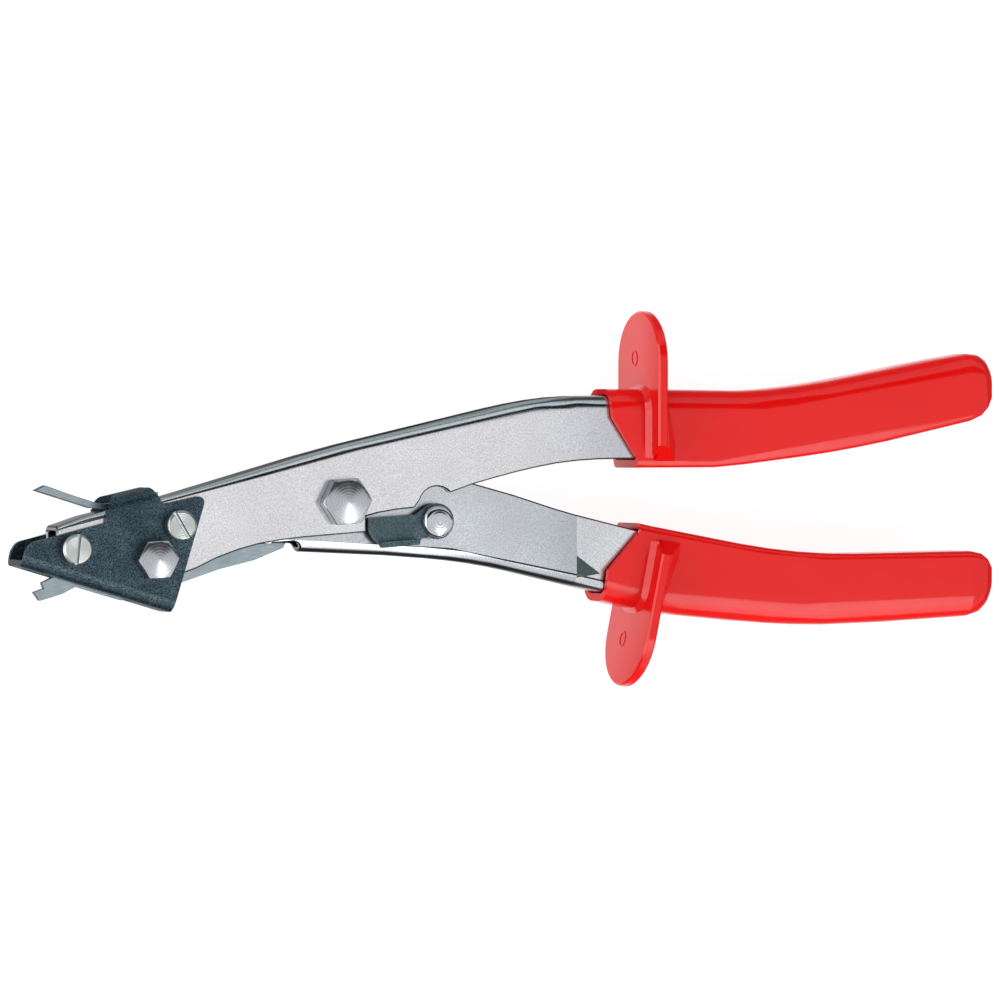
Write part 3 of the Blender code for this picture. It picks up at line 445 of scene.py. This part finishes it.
def make_mirrored_floor():
    """What metal mirrors instead of the floor: dark far off under the web, teal there under the spine."""
    floor = make_plane("mirrored_floor", -1.0 * MM)
    made, tree, place = new_material("mirrored_floor")
    facing = tree.add("LayerWeight", Blend=0.5).outputs["Facing"]
    under_web = tree.ramp(facing, [(0.03, 0.6), (0.12, 0.2), (0.3, 0.03), (1.0, 0.02)])
    under_spine = tree.ramp(facing, [
        (0.06, 0.02), (0.16, 0.3), (0.45, (0.40, 0.47, 0.48)), (1.0, (0.36, 0.42, 0.43)),
    ])
    under_grips = tree.ramp(facing, [(0.1, 1.0), (0.3, 0.35), (0.5, 0.1), (1.0, 0.05)])
    x, y, _ = tree.axes(place)
    to_spine = tree.add("MapRange", Value=y, From_Min=SPINE_FROM, From_Max=SPINE_TO)
    to_grips = tree.add("MapRange", Value=x, From_Min=GRIPS_FROM, From_Max=GRIPS_TO)
    shade = tree.mix(to_spine.outputs[0], under_web, under_spine)
    shade = tree.mix(to_grips.outputs[0], shade, under_grips)
    glow = tree.add("Emission", Color=shade, Strength=1.0)
    out = tree.add("OutputMaterial")
    tree.links.new(glow.outputs[0], out.inputs["Surface"])
    floor.data.materials.append(made)
    floor.visible_camera = False
    floor.visible_diffuse = False


def light_scene():
    """The studio that metal mirrors, by direction, with a fill light on each side.

    The roll runs round the tool's long axis, from 0 at -Y over 0.5 overhead to 1 at +Y. The room is white
    there, but for a dark band between the ceiling and the pale wall on +Y. A key light stands on -Y, as
    high as the roll says, and only in a window of X. One more light stands past the nose. All of it fades
    near the horizon. The camera itself sees the room white.
    """
    world = bpy.data.worlds.new("studio")
    bpy.context.scene.world = world
    tree = Tree(world)
    x, y, z = tree.axes(tree.add("TexCoord").outputs["Generated"])
    across = tree.math("SQRT", tree.math("ADD", tree.math("MULTIPLY", y, y), tree.math("MULTIPLY", z, z)))
    roll = tree.math("DIVIDE", y, tree.math("MAXIMUM", across, 0.001))
    roll = tree.math("MULTIPLY_ADD", roll, 0.5, 0.5)
    room = tree.ramp(roll, [
        (0.0, 1.0), (0.15, 0.9), (0.40, 0.85), (0.47, 0.9), (0.62, 0.9), (0.65, 0.0),
        (0.86, 0.0), (0.89, (0.85, 0.98, 1.0)), (1.0, (0.55, 0.64, 0.66)),
    ])
    key_band = tree.ramp(roll, [(0.0, 0.5), (0.06, 0.6), (0.16, 1.0), (0.40, 1.0), (0.44, 0.0)])
    to_grips = tree.math("MULTIPLY_ADD", x, 0.5, 0.5)
    key_window = tree.ramp(to_grips, [(0.60, 0.0), (0.63, 1.0), (0.71, 1.0), (0.76, 0.0)])
    to_nose = tree.math("MULTIPLY_ADD", x, -0.5, 0.5)
    nose_side = tree.ramp(to_nose, [(0.88, 0.0), (0.92, 1.0)])
    nose_height = tree.ramp(z, [(0.12, 0.0), (0.2, 1.0), (0.5, 1.0), (0.6, 0.0)])
    total = room
    for first, second, strength in (
        (key_band, key_window, KEY_STRENGTH), (nose_side, nose_height, NOSE_STRENGTH),
    ):
        light = tree.mix(1.0, first, second, "MULTIPLY")
        light = tree.mix(1.0, light, (strength, strength, strength, 1.0), "MULTIPLY")
        total = tree.mix(1.0, total, light, "ADD")
    horizon = tree.ramp(z, [(0.02, 0.1), (0.2, 1.0)])
    total = tree.mix(1.0, total, horizon, "MULTIPLY")
    seen = tree.add("LightPath").outputs["Is Camera Ray"]
    total = tree.mix(seen, total, (1.0, 1.0, 1.0, 1.0))
    sky = tree.add("Background", Color=total, Strength=1.0)
    out = tree.add("OutputWorld")
    tree.links.new(sky.outputs[0], out.inputs["Surface"])
    for name, place, power in FILLS:
        fill_light(name, place, power)


def make_camera():
    """The photographer's camera, looking down on the tool with +Y up."""
    level = math.cos(VIEW_RISE)
    toward = Vector((-math.sin(VIEW_LEAN) * level, math.sin(VIEW_RISE), math.cos(VIEW_LEAN) * level))
    right = Vector((0, 1, 0)).cross(toward).normalized()
    up = toward.cross(right)
    turn = Matrix((right, up, toward)).transposed().to_4x4()
    turn.translation = VIEW_TARGET + VIEW_DISTANCE * toward
    lens = bpy.data.cameras.new("camera")
    lens.sensor_width = SENSOR
    lens.lens = VIEW_LENS
    camera = bpy.data.objects.new("camera", lens)
    camera.matrix_world = turn
    bpy.context.scene.collection.objects.link(camera)
    bpy.context.scene.camera = camera


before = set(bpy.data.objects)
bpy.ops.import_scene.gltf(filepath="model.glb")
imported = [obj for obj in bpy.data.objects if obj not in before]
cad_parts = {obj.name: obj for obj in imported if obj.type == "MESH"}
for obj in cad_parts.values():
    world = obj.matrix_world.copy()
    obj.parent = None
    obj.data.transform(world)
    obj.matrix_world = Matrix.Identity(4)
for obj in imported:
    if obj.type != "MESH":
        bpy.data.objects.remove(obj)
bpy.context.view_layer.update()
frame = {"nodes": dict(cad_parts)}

dress(frame["nodes"])
metal = smooth_group("metal_shading", METAL_CREASE_ANGLE)
soften_all(frame["nodes"], metal)
bend_spring(frame["nodes"], metal)

make_floor()
make_mirrored_floor()
light_scene()
make_camera()
bpy.context.scene.view_settings.view_transform = "Standard"
